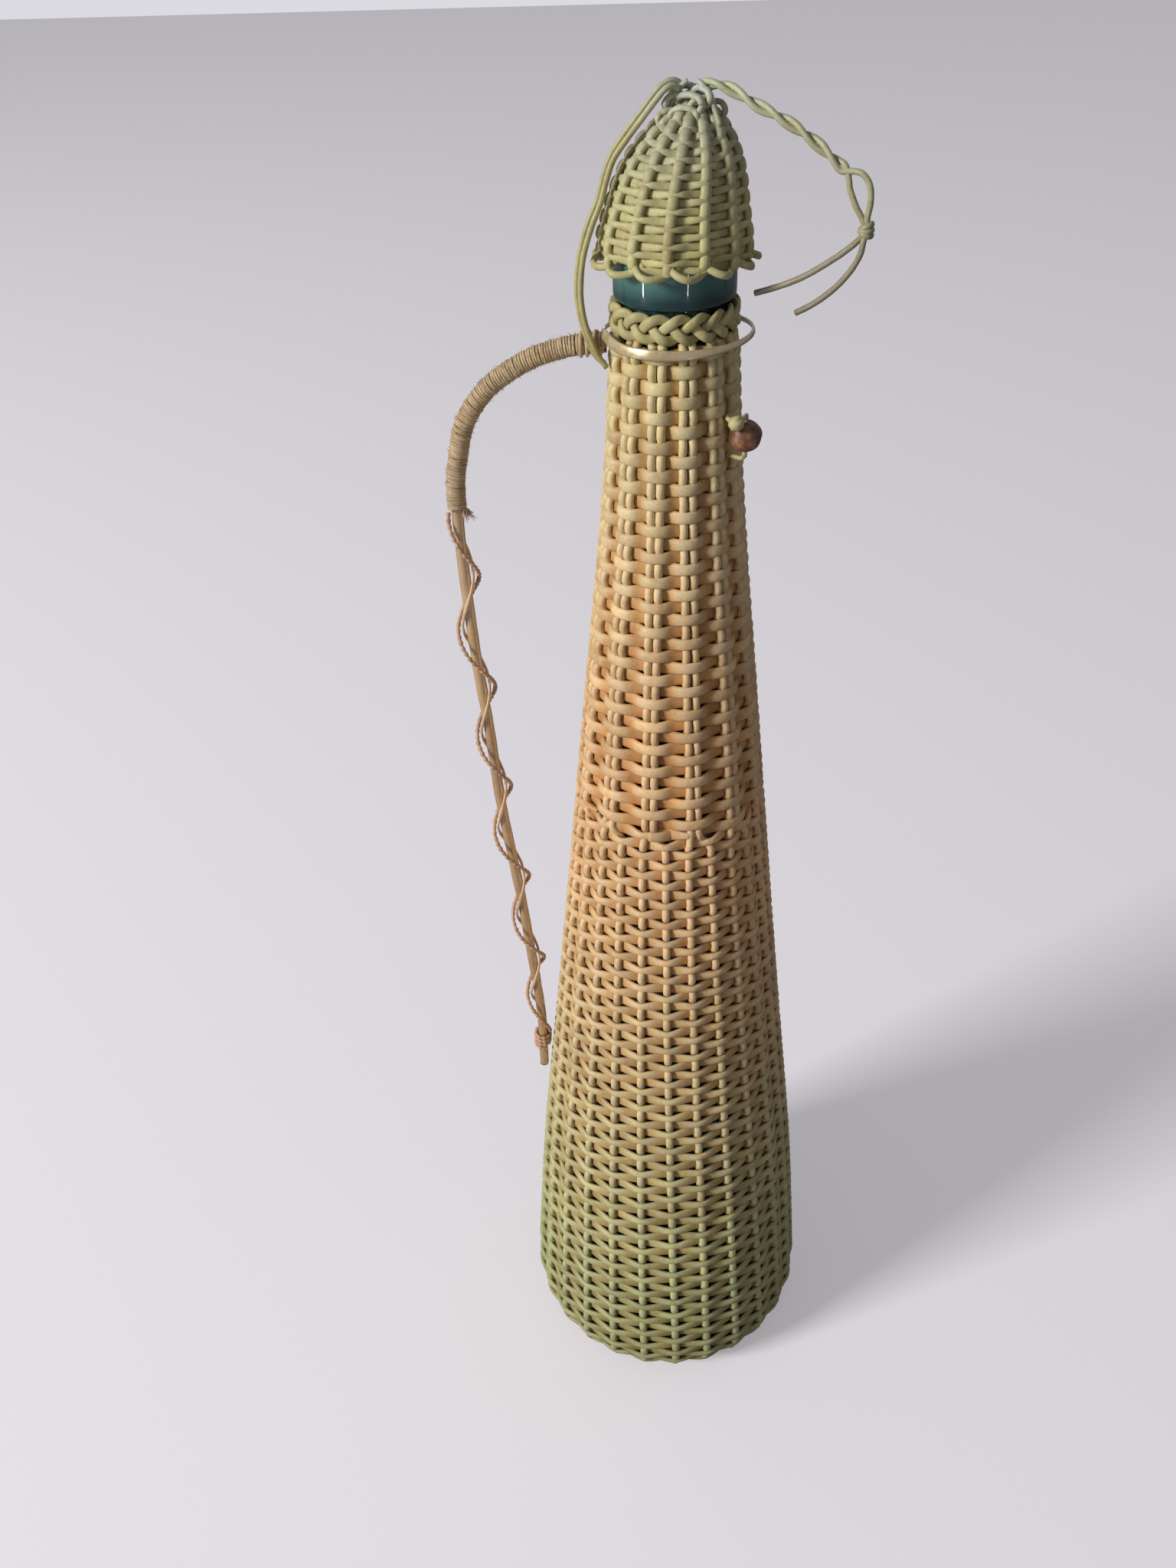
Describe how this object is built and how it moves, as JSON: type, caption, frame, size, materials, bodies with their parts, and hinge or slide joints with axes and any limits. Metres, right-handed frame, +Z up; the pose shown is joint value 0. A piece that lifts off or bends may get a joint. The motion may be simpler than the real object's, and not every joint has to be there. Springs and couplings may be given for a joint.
{
  "type": "wicker-covered bottle",
  "caption": "Tall tapering glass bottle in a woven cane jacket, with a corked woven cap, a cane carrying handle and a tie-down strap with a bead.",
  "frame": {"origin": "centre of the flat woven foot that the bottle stands on", "axes": "+Z up along the bottle's axis; the carrying handle is at -X; -Y faces the viewer of the picture, and the strap reaches out towards +X and a little towards -Y"},
  "size_m": [0.1014, 0.0924, 0.3964],
  "materials": {
    "teal_glass": "glossy dark teal bottle glass",
    "green_cane": "dry woven cane, greenish straw",
    "tan_cane": "dry woven cane, warm tan",
    "straw_cane": "dry woven cane, pale straw",
    "hoop_strip": "polished cane strip with a bright highlight",
    "glossy_cane": "smooth glossy cane bark",
    "wrap_strand": "fine fibrous winding",
    "copper_strand": "thin knobbly strand, coppery brown",
    "bead_nut": "dark red-brown seed or nut, satin",
    "cork": "dry cork"
  },
  "bodies": {
    "bottle": {"glass_bottle": "teal_glass", "base_weave": "green_cane", "lower_weave": "tan_cane", "upper_weave": "tan_cane", "neck_strands": "straw_cane", "neck_collar": "straw_cane", "neck_hoop": "hoop_strip", "handle_rod": "glossy_cane", "handle_top_lashing": "wrap_strand", "handle_wrap": "wrap_strand", "handle_spiral": "copper_strand", "handle_cross_strand": "copper_strand", "wrap_frayed_end": "wrap_strand", "bead_tie": "straw_cane"},
    "cap": {"cap_cover": "straw_cane", "cap_border": "straw_cane", "cork_stopper": "cork", "cap_tip_knot": "straw_cane", "strap_tether_rear": "straw_cane", "strap_tether_front": "straw_cane"},
    "strap": {"strap_cord": "straw_cane", "strap_eye": "straw_cane", "strap_knot": "straw_cane", "strap_long_tail": "straw_cane", "strap_short_tail": "straw_cane"},
    "bead": {"toggle_bead": "bead_nut"}
  },
  "joints": [
    {"name": "cap_lift", "type": "slide", "parent": "bottle", "child": "cap", "axis": [0, 0, 1], "range_m": [0, 0.026], "deforming": ["strap_tether_rear", "strap_tether_front"]},
    {"name": "strap_swing", "type": "hinge", "parent": "cap", "child": "strap", "pos_m": [0.0034, 0, 0.3939], "axis": [-0.4226, -0.9063, 0], "range_deg": [0, 90]},
    {"name": "bead_spin", "type": "hinge", "parent": "bottle", "child": "bead", "pos_m": [0.01602, -0.01207, 0.3263], "axis": [0, 0, 1], "continuous": true}
  ]
}
